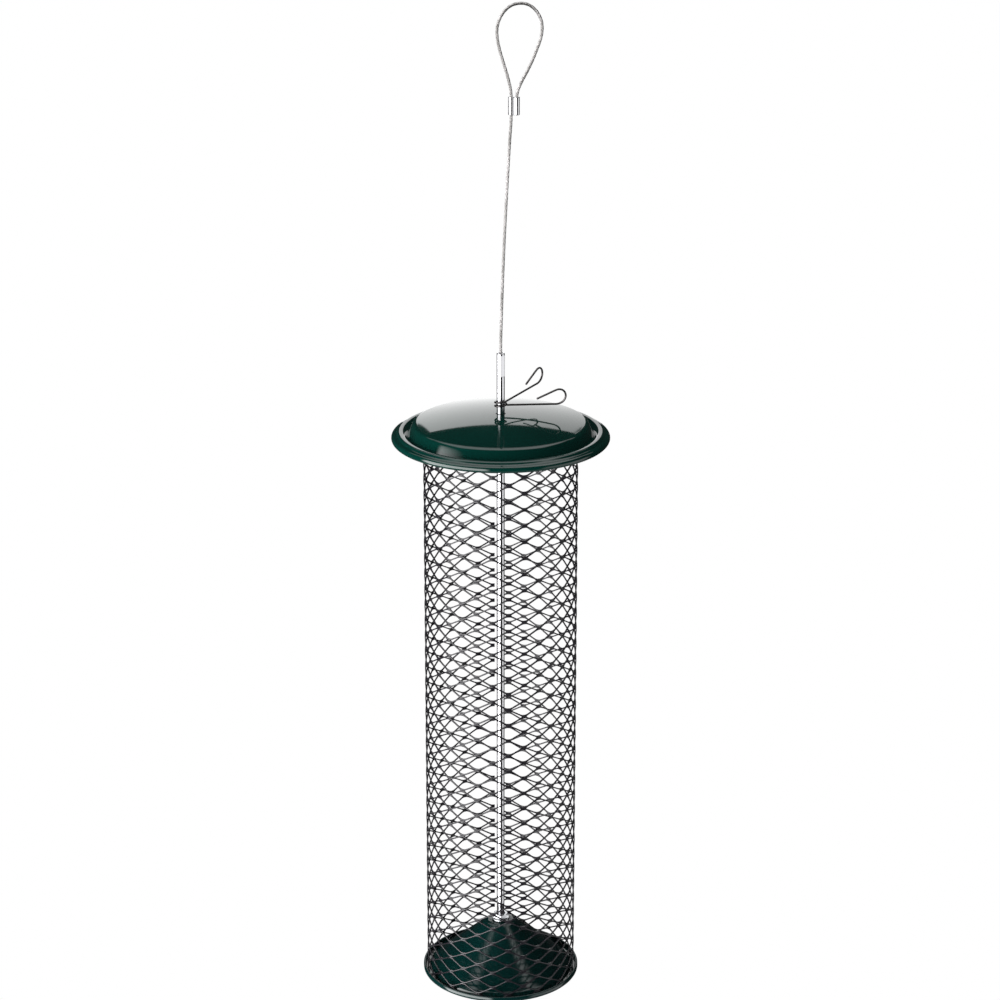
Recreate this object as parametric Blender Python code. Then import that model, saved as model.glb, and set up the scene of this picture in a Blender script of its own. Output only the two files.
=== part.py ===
"""Hanging mesh feeder for peanuts and seed: a wire rope loop, a steel rod that carries a pressed tray,
an expanded-metal tube standing in the tray, a pressed lid on the tube and a spring clip on the rod.

The design frame has its z = 0 at the plane of the lid's rim and its z axis on the rod. The whole feeder
is then hung from the world's origin, which is where a hook bears inside the top of the rope's loop.
"""

import math

import bmesh
import bpy
from mathutils import Matrix, Vector

MM = 0.001

# Fits and clearances
TOUCH_GAP = 0.3 * MM  # between faces that rest on or against each other
ROD_CLEARANCE = 0.3 * MM  # nuts, washers and the spring coil around the rod, on the radius
LID_HOLE_CLEARANCE = 0.5 * MM  # lid around the rod, on the radius
TRAY_WALL_CLEARANCE = 0.7 * MM  # tray wall outside the tube, on the radius
TRAY_CONE_CLEARANCE = 0.5 * MM  # foot of the tray's cone inside the tube, on the radius
ROPE_CLEARANCE = 0.3 * MM  # ferrule bore around the rope, on the radius

# Sheet metal
LID_SHEET = 0.8 * MM
TRAY_SHEET = 0.7 * MM
TURN_STEPS = 40

# Expanded-metal tube
TUBE_RADIUS = 38.9 * MM  # outer
TUBE_HEIGHT = 301.9 * MM
MESH_THICKNESS = 0.9 * MM
MESH_COLUMNS = 8  # diamonds round the tube, one to each panel
MESH_ROWS = 16  # diamonds up the tube
MESH_BOND_LENGTH = 6.0 * MM  # where two strands run together, along the girth
MESH_STRAND = 2.0 * MM  # strand's height, measured upright

# Lid
DOME_OVERHANG = 3.7 * MM  # crease of the dome outside the tube
DOME_RISE = 4.5 * MM
CREASE_HEIGHT = 8.5 * MM  # above the rim plane
VALLEY_OFFSET = 4.2 * MM  # from the crease out to the valley
VALLEY_HEIGHT = 2.7 * MM
CROWN_OFFSET = 6.9 * MM  # from the crease out to the bead's crown
CROWN_HEIGHT = 4.3 * MM
ROLL_OFFSET = 10.1 * MM  # from the crease out to the middle of the rolled edge
ROLL_HEIGHT = 1.3 * MM
ROLL_RADIUS = 2.0 * MM

# Rod
ROD_RADIUS = 2.0 * MM
ROD_ABOVE_LID = 31.4 * MM
ROD_BELOW_NUT = 1.5 * MM
ROD_CHAMFER = 0.5 * MM
CRIMP_LENGTH = 11.0 * MM
CRIMP_DEPTH = 0.35 * MM
CRIMP_FROM_TOP = 1.0 * MM

# Tray
CONE_TOP_RADIUS = 7.4 * MM
CONE_HEIGHT = 26.6 * MM  # above the floor of the groove
GROOVE_DEPTH = 2.0 * MM  # floor below the top of the wall
WALL_THICKNESS = 1.3 * MM  # with its folded hem

# Fasteners
WASHER_RADIUS = 4.5 * MM
WASHER_THICKNESS = 0.8 * MM
NUT_ACROSS_FLATS = 7.0 * MM
NUT_HEIGHT = 2.2 * MM

# Spring clip
WIRE_RADIUS = 0.5 * MM
CLIP_ABOVE_LID = 3.1 * MM  # underside of the lowest turn above the lid
COIL_PITCH = 1.86 * MM
REAR_ARM_TURN = math.radians(54)  # from the front arm, about the rod
FRONT_ARM_RISE = math.radians(1.2)
REAR_ARM_RISE = math.radians(6)
COIL_WIND = 2 * math.pi + math.pi + REAR_ARM_TURN  # from the rear arm round to the front arm
COIL_GAP_START = math.radians(168)  # the two halves of the wire part here,
COIL_GAP_END = math.radians(210)  # which leaves room for the squeeze
COIL_STEP = math.radians(15)
ARM_SHAPE = (  # (outward, upward) along the wire, in millimetres
    (0, 0), (9, 0), (18, 0), (25, 0), (28.6, 0.1), (31.1, 1.3), (32.4, 3.4), (32.3, 5.6), (31.0, 7.2),
    (29.1, 7.6), (27.2, 7.0), (22.6, 4.9), (18.0, 2.8),
)  # fmt: skip

# Wire rope, with points in millimetres outward and upward from the top of the rod
ROPE_RADIUS = 0.75 * MM
ROPE_STEP = 3.6 * MM
ROPE_ROUTE = (
    (0.0, 0.3), (0.0, 5.0), (0.3, 17.0), (0.75, 32.0), (1.3, 47.0), (1.95, 62.0), (2.7, 77.0),
    (3.5, 92.0), (4.3, 106.0), (4.85, 114.0), (5.05, 119.5), (5.05, 123.2), (5.05, 127.2), (4.6, 131.6),
    (3.3, 137.2), (1.5, 143.2), (-0.4, 149.6), (-1.65, 155.6), (-1.75, 160.6), (-0.5, 165.0),
    (1.9, 168.8), (5.2, 171.4), (9.05, 172.35), (12.6, 171.9), (15.6, 170.1), (17.9, 167.3),
    (19.4, 163.7), (19.7, 159.7), (18.95, 155.3), (17.4, 150.9), (15.3, 145.5), (12.7, 140.0),
    (10.2, 135.3), (8.3, 130.9), (7.65, 127.0), (7.65, 123.2), (7.65, 119.5),
)  # fmt: skip
ROPE_TOP_POINT = 22  # the route's highest point
FERRULE_BOTTOM = 118.8 * MM  # above the rod's top
FERRULE_HEIGHT = 8.9 * MM
FERRULE_WALL = 0.45 * MM
BORE_LEFT = 5.05 * MM
BORE_RIGHT = 7.65 * MM

# Places worked out from the sizes above
CREASE_RADIUS = TUBE_RADIUS + DOME_OVERHANG
LID_TOP = CREASE_HEIGHT + DOME_RISE
LID_HOLE = ROD_RADIUS + LID_HOLE_CLEARANCE
DOME_RADIUS = (CREASE_RADIUS**2 + DOME_RISE**2) / (2 * DOME_RISE)
TUBE_TOP = LID_TOP - DOME_RADIUS + math.sqrt((DOME_RADIUS - LID_SHEET) ** 2 - TUBE_RADIUS**2) - TOUCH_GAP
TUBE_BOTTOM = TUBE_TOP - TUBE_HEIGHT
GROOVE_FLOOR = TUBE_BOTTOM - TOUCH_GAP
TRAY_RIM = GROOVE_FLOOR + GROOVE_DEPTH
CONE_TOP = GROOVE_FLOOR + CONE_HEIGHT
BOLT_HOLE = ROD_RADIUS + ROD_CLEARANCE
TOP_WASHER = CONE_TOP + TOUCH_GAP
TOP_NUT = TOP_WASHER + WASHER_THICKNESS + TOUCH_GAP
LOW_WASHER = CONE_TOP - TRAY_SHEET - TOUCH_GAP - WASHER_THICKNESS
LOW_NUT = LOW_WASHER - TOUCH_GAP - NUT_HEIGHT
ROD_BOTTOM = LOW_NUT - ROD_BELOW_NUT
ROD_TOP = LID_TOP + ROD_ABOVE_LID
COIL_RADIUS = ROD_RADIUS + ROD_CLEARANCE + WIRE_RADIUS
COIL_BOTTOM = LID_TOP + CLIP_ABOVE_LID + WIRE_RADIUS
COIL_TOP = COIL_BOTTOM + COIL_PITCH * COIL_WIND / (2 * math.pi)
HANG_OUT = ROPE_ROUTE[ROPE_TOP_POINT][0] * MM
HANG_HEIGHT = ROD_TOP + ROPE_ROUTE[ROPE_TOP_POINT][1] * MM - ROPE_RADIUS


def clear_scene():
    for obj in list(bpy.data.objects):
        bpy.data.objects.remove(obj, do_unlink=True)


def finish(name, colour, roughness, metallic):
    """A plain material for one sub-part."""
    material = bpy.data.materials.new(name)
    material.use_nodes = True
    shader = material.node_tree.nodes["Principled BSDF"]
    shader.inputs["Base Color"].default_value = (*colour, 1.0)
    shader.inputs["Roughness"].default_value = roughness
    shader.inputs["Metallic"].default_value = metallic
    material.diffuse_color = (*colour, 1.0)
    return material


def place(obj, parent, material, height=0.0):
    """Hangs an object in the feeder's frame with its origin on the rod's axis."""
    bpy.context.scene.collection.objects.link(obj)
    obj.parent = parent
    obj.location = (0, 0, height)
    if material:
        obj.data.materials.append(material)
    return obj


def from_bmesh(name, bm, parent, material, height=0.0, sharp=35):
    """A mesh object from bm, shaded smooth up to the sharp angle."""
    bmesh.ops.remove_doubles(bm, verts=bm.verts[:], dist=1e-6)
    bmesh.ops.recalc_face_normals(bm, faces=bm.faces[:])
    mesh = bpy.data.meshes.new(name)
    bm.to_mesh(mesh)
    bm.free()
    mesh.shade_smooth()
    mesh.set_sharp_from_angle(angle=math.radians(sharp))
    return place(bpy.data.objects.new(name, mesh), parent, material, height)


def turned(name, outline, parent, material, height=0.0, steps=TURN_STEPS):
    """A turned ring: the closed outline of (radius, height) points, spun round the rod's axis."""
    bm = bmesh.new()
    corners = [bm.verts.new((radius, 0, up)) for radius, up in outline]
    edges = [bm.edges.new((a, b)) for a, b in zip(corners, corners[1:] + corners[:1])]
    bmesh.ops.spin(
        bm,
        geom=corners + edges,
        cent=(0, 0, 0),
        axis=(0, 0, 1),
        angle=2 * math.pi,
        steps=steps,
        use_merge=True,
    )
    return from_bmesh(name, bm, parent, material, height)


def arc(centre, radius, start, end, steps):
    """Points on a circle in the (radius, height) plane, from one angle in degrees to another."""
    turns = [math.radians(start + (end - start) * i / steps) for i in range(steps + 1)]
    return [(centre[0] + radius * math.cos(t), centre[1] + radius * math.sin(t)) for t in turns]


def sheet_outline(face, thickness):
    """The closed outline of a sheet whose upper face runs along the points, outwards from the rod."""
    under = []
    for i, point in enumerate(face):
        before = Vector(face[max(i - 1, 0)])
        after = Vector(face[min(i + 1, len(face) - 1)])
        here = Vector(point)
        normals = []
        for a, b in ((before, here), (here, after)):
            along = b - a
            if along.length > 0:
                normals.append(Vector((along.y, -along.x)).normalized())
        middle = sum(normals, Vector((0, 0))).normalized()
        under.append(tuple(here + middle * thickness / max(middle.dot(normals[0]), 0.5)))
    return list(face) + under[::-1]


def smooth_points(route, step):
    """Evenly spaced points on a smooth curve through the route's points."""
    padded = [2 * route[0] - route[1], *route, 2 * route[-1] - route[-2]]
    fine = []
    for a, b, c, d in zip(padded, padded[1:], padded[2:], padded[3:]):
        for i in range(24):
            t = i / 24
            fine.append(
                0.5 * (2 * b + (c - a) * t + (2 * a - 5 * b + 4 * c - d) * t**2 + (3 * b - a - 3 * c + d) * t**3)
            )
    fine.append(route[-1])
    lengths = [0.0]
    for a, b in zip(fine, fine[1:]):
        lengths.append(lengths[-1] + (b - a).length)
    count = round(lengths[-1] / step)
    points = []
    index = 0
    for i in range(count + 1):
        wanted = lengths[-1] * i / count
        while index < len(fine) - 2 and lengths[index + 1] < wanted:
            index += 1
        share = (wanted - lengths[index]) / (lengths[index + 1] - lengths[index])
        points.append(fine[index].lerp(fine[index + 1], min(share, 1.0)))
    return points


def wire(name, points, radius, parent, material, height=0.0):
    """A round wire along the points, closed at both ends."""
    curve = bpy.data.curves.new(name, "CURVE")
    curve.dimensions = "3D"
    curve.bevel_depth = radius
    curve.bevel_resolution = 2
    curve.use_fill_caps = True
    spline = curve.splines.new("POLY")
    spline.points.add(len(points) - 1)
    for knot, point in zip(spline.points, points):
        knot.co = (*point, 1.0)
    return place(bpy.data.objects.new(name, curve), parent, material, height)


def cut(obj, cutter):
    """Cuts the cutter's shape out of obj and hides the cutter."""
    cutter.hide_render = True
    cutter.display_type = "WIRE"
    modifier = obj.modifiers.new(cutter.name, "BOOLEAN")
    modifier.operation = "DIFFERENCE"
    modifier.solver = "EXACT"
    modifier.object = cutter


def cylinder(name, radius, bottom, top, parent, material, centre=0.0, steps=32, chamfer=0.0):
    """A solid round bar along z, with its end edges chamfered."""
    bm = bmesh.new()
    bmesh.ops.create_cone(
        bm,
        cap_ends=True,
        segments=steps,
        radius1=radius,
        radius2=radius,
        depth=top - bottom,
        matrix=Matrix.Translation((centre, 0, (top + bottom) / 2)),
    )
    if chamfer > 0:
        rims = [e for e in bm.edges if abs(e.verts[0].co.z - e.verts[1].co.z) < 1e-7]
        bmesh.ops.bevel(bm, geom=rims, offset=chamfer, segments=2, affect="EDGES", profile=0.5)
    return from_bmesh(name, bm, parent, material)


def build_lid(parent):
    """Pressed lid: shallow dome, steep wall, valley, bead and rolled edge, from one sheet."""
    centre = LID_TOP - DOME_RADIUS
    dome = []
    for i in range(6):
        radius = LID_HOLE + (CREASE_RADIUS - LID_HOLE) * i / 5
        dome.append((radius, centre + math.sqrt(DOME_RADIUS**2 - radius**2)))
    valley = CREASE_RADIUS + VALLEY_OFFSET
    crown = CREASE_RADIUS + CROWN_OFFSET
    roll = (CREASE_RADIUS + ROLL_OFFSET, ROLL_HEIGHT)
    wall = [
        (CREASE_RADIUS + 0.9 * MM, CREASE_HEIGHT - 0.5 * MM),
        (CREASE_RADIUS + 1.5 * MM, CREASE_HEIGHT - 1.4 * MM),
        (valley - 1.3 * MM, VALLEY_HEIGHT + 0.9 * MM),
        (valley - 0.7 * MM, VALLEY_HEIGHT + 0.2 * MM),
        (valley, VALLEY_HEIGHT),
    ]
    bead = [
        (crown - 1.2 * MM, CROWN_HEIGHT - 0.4 * MM),
        (crown, CROWN_HEIGHT),
        (crown + 1.1 * MM, CROWN_HEIGHT - 0.35 * MM),
    ]
    edge = arc(roll, ROLL_RADIUS, 128, -170, 9)
    face = dome + wall + bead + edge
    coat = finish("lid_green_enamel", (0.006, 0.045, 0.036), 0.12, 0.0)
    return turned("lid", sheet_outline(face, LID_SHEET), parent, coat)


def mesh_point(turn, height):
    return Vector((TUBE_RADIUS * math.cos(turn), TUBE_RADIUS * math.sin(turn), height))


def mesh_quads(panel):
    """The faces of one panel: two columns of bonds, the strands between them, and half of each strand
    that runs on to the panel beside it."""
    pitch = (TUBE_HEIGHT - 2 * MESH_STRAND) / MESH_ROWS
    column_turn = math.pi / MESH_COLUMNS
    half_bond = MESH_BOND_LENGTH / 2 / TUBE_RADIUS
    parting = 0.5 - TOUCH_GAP / 2 / (TUBE_RADIUS * column_turn - MESH_BOND_LENGTH)
    quads = []
    for column in (2 * panel, 2 * panel + 1):
        turn = column_turn * column
        rows = [row + 0.5 * (column % 2) for row in range(MESH_ROWS + 1 - column % 2)]
        for row in rows:
            middle = MESH_STRAND + row * pitch
            for low in (middle - MESH_STRAND, middle):
                left, right = turn - half_bond, turn + half_bond
                high = low + MESH_STRAND
                ring = ((left, low), (right, low), (right, high), (left, high))
                quads.append([mesh_point(*corner) for corner in ring])
            for side, step in ((1, 0.5), (1, -0.5), (-1, 0.5), (-1, -0.5)):
                within = (column + side) // 2 == panel
                if not 0 <= row + step <= MESH_ROWS or (within and side < 0):
                    continue
                near_low = middle if step > 0 else middle - MESH_STRAND
                climb = step * pitch - math.copysign(MESH_STRAND, step)
                corners = []
                for low in (near_low, near_low + MESH_STRAND):
                    near = mesh_point(turn + side * half_bond, low)
                    far = mesh_point(turn + side * (column_turn - half_bond), low + climb)
                    corners.append((near, far if within else near.lerp(far, parting)))
                quad = [corners[0][0], corners[0][1], corners[1][1], corners[1][0]]
                quads.append(quad if side > 0 else quad[::-1])
    return quads


def build_mesh_panel(panel, parent):
    """One upright panel of the expanded-metal tube, which is a single rolled sheet on the real feeder."""
    bm = bmesh.new()
    for quad in mesh_quads(panel):
        bm.faces.new([bm.verts.new(corner) for corner in quad])
    bmesh.ops.remove_doubles(bm, verts=bm.verts[:], dist=1e-6)
    name = f"mesh_panel_{panel + 1}"
    mesh = bpy.data.meshes.new(name)
    bm.to_mesh(mesh)
    bm.free()
    coat = finish(f"{name}_black_coat", (0.010, 0.009, 0.013), 0.35, 0.0)
    obj = place(bpy.data.objects.new(name, mesh), parent, coat, TUBE_BOTTOM)
    solidify = obj.modifiers.new("strand_thickness", "SOLIDIFY")
    solidify.thickness = MESH_THICKNESS
    solidify.offset = -1
    solidify.use_even_offset = True


def build_tray(parent):
    """Pressed tray: a hollow cone that sheds seed outwards, a groove for the tube and a hemmed wall."""
    foot = TUBE_RADIUS - MESH_THICKNESS - TRAY_CONE_CLEARANCE
    inner_wall = TUBE_RADIUS + TRAY_WALL_CLEARANCE
    outer_wall = inner_wall + WALL_THICKNESS
    round_in = 0.5 * MM
    upper = [
        (BOLT_HOLE, CONE_TOP),
        (CONE_TOP_RADIUS - round_in, CONE_TOP),
        (CONE_TOP_RADIUS + round_in, CONE_TOP - round_in),
        (foot - 1.4 * MM, GROOVE_FLOOR + 2.2 * MM),
        (foot - 0.5 * MM, GROOVE_FLOOR + 0.8 * MM),
        (foot, GROOVE_FLOOR),
        (inner_wall - 0.3 * MM, GROOVE_FLOOR),
        (inner_wall, GROOVE_FLOOR + 0.3 * MM),
        (inner_wall, TRAY_RIM - 0.4 * MM),
        (inner_wall + 0.35 * MM, TRAY_RIM),
        (outer_wall - 0.35 * MM, TRAY_RIM),
        (outer_wall, TRAY_RIM - 0.4 * MM),
        (outer_wall, GROOVE_FLOOR),
        (outer_wall - 0.6 * MM, GROOVE_FLOOR - TRAY_SHEET),
    ]
    lower = [
        (foot - 0.4 * MM, GROOVE_FLOOR - TRAY_SHEET),
        (foot - 1.3 * MM, GROOVE_FLOOR + 0.5 * MM),
        (foot - 2.0 * MM, GROOVE_FLOOR + 1.5 * MM),
        (CONE_TOP_RADIUS, CONE_TOP - TRAY_SHEET - round_in),
        (CONE_TOP_RADIUS - round_in, CONE_TOP - TRAY_SHEET),
        (BOLT_HOLE, CONE_TOP - TRAY_SHEET),
    ]
    coat = finish("tray_green_enamel", (0.004, 0.040, 0.040), 0.15, 0.0)
    return turned("base_tray", upper + lower, parent, coat)


def build_rod(parent):
    """Steel rod with chamfered ends and two flats where it is crimped onto the rope."""
    steel = finish("rod_steel", (0.62, 0.62, 0.64), 0.16, 1.0)
    rod = cylinder("center_rod", ROD_RADIUS, ROD_BOTTOM, ROD_TOP, parent, steel, chamfer=ROD_CHAMFER)
    for side in (-1, 1):
        bm = bmesh.new()
        depth = 2 * ROD_RADIUS
        middle = side * (ROD_RADIUS - CRIMP_DEPTH + depth / 2)
        size = Matrix.Diagonal((2.4 * ROD_RADIUS, depth, CRIMP_LENGTH, 1.0))
        height = ROD_TOP - CRIMP_FROM_TOP - CRIMP_LENGTH / 2
        bmesh.ops.create_cube(bm, size=1.0, matrix=Matrix.Translation((0, middle, height)) @ size)
        cut(rod, from_bmesh(f"crimp_cutter_{'front' if side < 0 else 'back'}", bm, parent, None))
    return rod


def build_washer(name, bottom, parent):
    steel = finish(f"{name}_steel", (0.60, 0.60, 0.61), 0.25, 1.0)
    outline = [
        (BOLT_HOLE, 0),
        (WASHER_RADIUS, 0),
        (WASHER_RADIUS, WASHER_THICKNESS),
        (BOLT_HOLE, WASHER_THICKNESS),
    ]
    return turned(name, outline, parent, steel, bottom, steps=32)


def build_nut(name, bottom, parent):
    """Hexagon nut with a plain bore."""
    steel = finish(f"{name}_steel", (0.58, 0.58, 0.60), 0.22, 1.0)
    bm = bmesh.new()
    bmesh.ops.create_cone(
        bm,
        cap_ends=True,
        segments=6,
        radius1=NUT_ACROSS_FLATS / math.sqrt(3),
        radius2=NUT_ACROSS_FLATS / math.sqrt(3),
        depth=NUT_HEIGHT,
        matrix=Matrix.Translation((0, 0, NUT_HEIGHT / 2)),
    )
    nut = from_bmesh(name, bm, parent, steel, bottom)
    beyond = 1.0 * MM
    cut(nut, cylinder(f"{name}_bore_cutter", BOLT_HOLE, bottom - beyond, bottom + NUT_HEIGHT + beyond, parent, None))
    return nut


def arm_points(turn, rise, start):
    """One arm of the clip: out from the coil in a level direction, up round its finger loop and back."""
    out = Vector((math.cos(turn) * math.cos(rise), math.sin(turn) * math.cos(rise), math.sin(rise)))
    up = Vector((-math.cos(turn) * math.sin(rise), -math.sin(turn) * math.sin(rise), math.cos(rise)))
    shape = [Vector(start) + out * along * MM + up * height * MM for along, height in ARM_SHAPE]
    return smooth_points(shape, 2.0 * MM)[1:]


def coil_point(wind):
    """A point on the coil, where wind is the angle turned clockwise and down from the rear arm."""
    turn = REAR_ARM_TURN - math.pi / 2 - wind
    height = COIL_TOP - COIL_PITCH * wind / (2 * math.pi)
    return Vector((COIL_RADIUS * math.cos(turn), COIL_RADIUS * math.sin(turn), height))


def coil_points(start, end):
    count = round(abs(end - start) / COIL_STEP)
    return [coil_point(start + (end - start) * i / count) for i in range(count + 1)]


def build_clip(parent):
    """Spring clip: two arms that cross beside the rod, joined by a coil that grips it."""
    for name, start, end, turn, rise in (
        ("clip_front_arm", COIL_GAP_END, COIL_WIND, 0.0, FRONT_ARM_RISE),
        ("clip_rear_arm", COIL_GAP_START, 0.0, REAR_ARM_TURN, REAR_ARM_RISE),
    ):
        steel = finish(f"{name}_spring_steel", (0.030, 0.028, 0.027), 0.3, 1.0)
        path = coil_points(start, end)
        path += arm_points(turn, rise, path[-1])
        wire(name, path, WIRE_RADIUS, parent, steel)


def build_rope(parent):
    """Wire rope: up from the rod, through the ferrule, round the loop and back into the ferrule."""
    steel = finish("rope_steel", (0.42, 0.41, 0.40), 0.35, 1.0)
    route = [Vector((out * MM, 0, ROD_TOP + up * MM)) for out, up in ROPE_ROUTE]
    return wire("hanger_rope", smooth_points(route, ROPE_STEP), ROPE_RADIUS, parent, steel)


def build_ferrule(parent):
    """Double-barrel ferrule with a bore for each leg of the rope's loop."""
    bore = ROPE_RADIUS + ROPE_CLEARANCE
    lobe = bore + FERRULE_WALL
    half_pitch = (BORE_RIGHT - BORE_LEFT) / 2
    middle = (BORE_RIGHT + BORE_LEFT) / 2
    bottom = ROD_TOP + FERRULE_BOTTOM
    waist = math.degrees(math.acos(half_pitch / lobe))
    right = arc((half_pitch, 0), lobe, waist - 180, 180 - waist, 16)
    left = arc((-half_pitch, 0), lobe, waist, 360 - waist, 16)
    bm = bmesh.new()
    corners = [bm.verts.new((middle + out, across, bottom)) for out, across in right + left[1:-1]]
    face = bm.faces.new(corners)
    lifted = bmesh.ops.extrude_face_region(bm, geom=[face])["geom"]
    raised = [v for v in lifted if isinstance(v, bmesh.types.BMVert)]
    bmesh.ops.translate(bm, verts=raised, vec=(0, 0, FERRULE_HEIGHT))
    steel = finish("ferrule_steel", (0.70, 0.70, 0.71), 0.14, 1.0)
    ferrule = from_bmesh("loop_ferrule", bm, parent, steel)
    beyond = 1.0 * MM
    for side, centre in (("left", BORE_LEFT), ("right", BORE_RIGHT)):
        tool = cylinder(
            f"ferrule_bore_{side}", bore, bottom - beyond, bottom + FERRULE_HEIGHT + beyond, parent, None, centre, 24
        )
        cut(ferrule, tool)
    return ferrule


def main():
    clear_scene()
    feeder = bpy.data.objects.new("feeder", None)
    bpy.context.scene.collection.objects.link(feeder)
    feeder.location = (-HANG_OUT, 0, -HANG_HEIGHT)
    build_rope(feeder)
    build_ferrule(feeder)
    build_rod(feeder)
    build_clip(feeder)
    build_lid(feeder)
    for panel in range(MESH_COLUMNS):
        build_mesh_panel(panel, feeder)
    build_tray(feeder)
    build_washer("top_washer", TOP_WASHER, feeder)
    build_nut("top_nut", TOP_NUT, feeder)
    build_washer("bottom_washer", LOW_WASHER, feeder)
    build_nut("bottom_nut", LOW_NUT, feeder)


main()
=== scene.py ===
"""Looks of the hanging mesh feeder: wire rope and ferrule, steel rod, spring clip, enamelled lid,
expanded-metal tube, enamelled tray and the nuts that clamp it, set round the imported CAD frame."""

import logging
import math
from collections.abc import Callable, Sequence
from dataclasses import dataclass
from enum import Enum

import bpy
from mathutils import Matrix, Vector


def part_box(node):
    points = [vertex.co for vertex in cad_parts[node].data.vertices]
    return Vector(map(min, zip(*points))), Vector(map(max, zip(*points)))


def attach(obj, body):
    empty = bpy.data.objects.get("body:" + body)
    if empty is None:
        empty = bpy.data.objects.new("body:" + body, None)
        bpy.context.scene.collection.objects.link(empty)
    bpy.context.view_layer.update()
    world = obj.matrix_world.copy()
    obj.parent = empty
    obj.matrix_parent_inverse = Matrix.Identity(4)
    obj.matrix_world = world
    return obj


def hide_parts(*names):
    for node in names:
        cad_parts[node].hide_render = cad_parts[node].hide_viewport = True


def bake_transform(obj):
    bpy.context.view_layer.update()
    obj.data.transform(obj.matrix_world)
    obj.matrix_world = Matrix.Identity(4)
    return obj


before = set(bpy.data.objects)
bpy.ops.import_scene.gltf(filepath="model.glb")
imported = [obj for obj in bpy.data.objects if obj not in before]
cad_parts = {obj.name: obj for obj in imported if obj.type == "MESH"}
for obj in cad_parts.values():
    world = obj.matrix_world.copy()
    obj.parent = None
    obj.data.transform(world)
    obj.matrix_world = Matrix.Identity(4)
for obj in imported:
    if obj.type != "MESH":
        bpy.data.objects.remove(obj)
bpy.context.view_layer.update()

MM = 0.001
TURN = 2 * math.pi
ROD_TOP_ABOVE_RIM = 44.4 * MM  # top of the rod above the plane of the lid's rim

log = logging.getLogger("feeder")

Outline = Sequence[tuple[float, float]]


class Body(Enum):
    """The moving bodies of the CAD frame."""

    FRAME = "feeder_frame"
    TUBE = "tube"
    COVER = "cover"
    CLIP = "clip"
    CLIP_ARM = "clip_arm"


@dataclass(frozen=True)
class Place:
    """Where the feeder stands in the frame.

    Attributes:
        axis: The rod's place along X.
        rim: The height of the plane of the lid's rim.
    """

    axis: float
    rim: float

    @classmethod
    def from_cad(cls) -> "Place":
        """Reads the place from the CAD rod."""
        low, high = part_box("center_rod")
        return cls((low.x + high.x) / 2, high.z - ROD_TOP_ABOVE_RIM)

    def at(self, x: float, y: float, z: float) -> Vector:
        """A point given from the rod's axis and the rim plane, in the frame."""
        return Vector((self.axis + x, y, self.rim + z))


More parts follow.
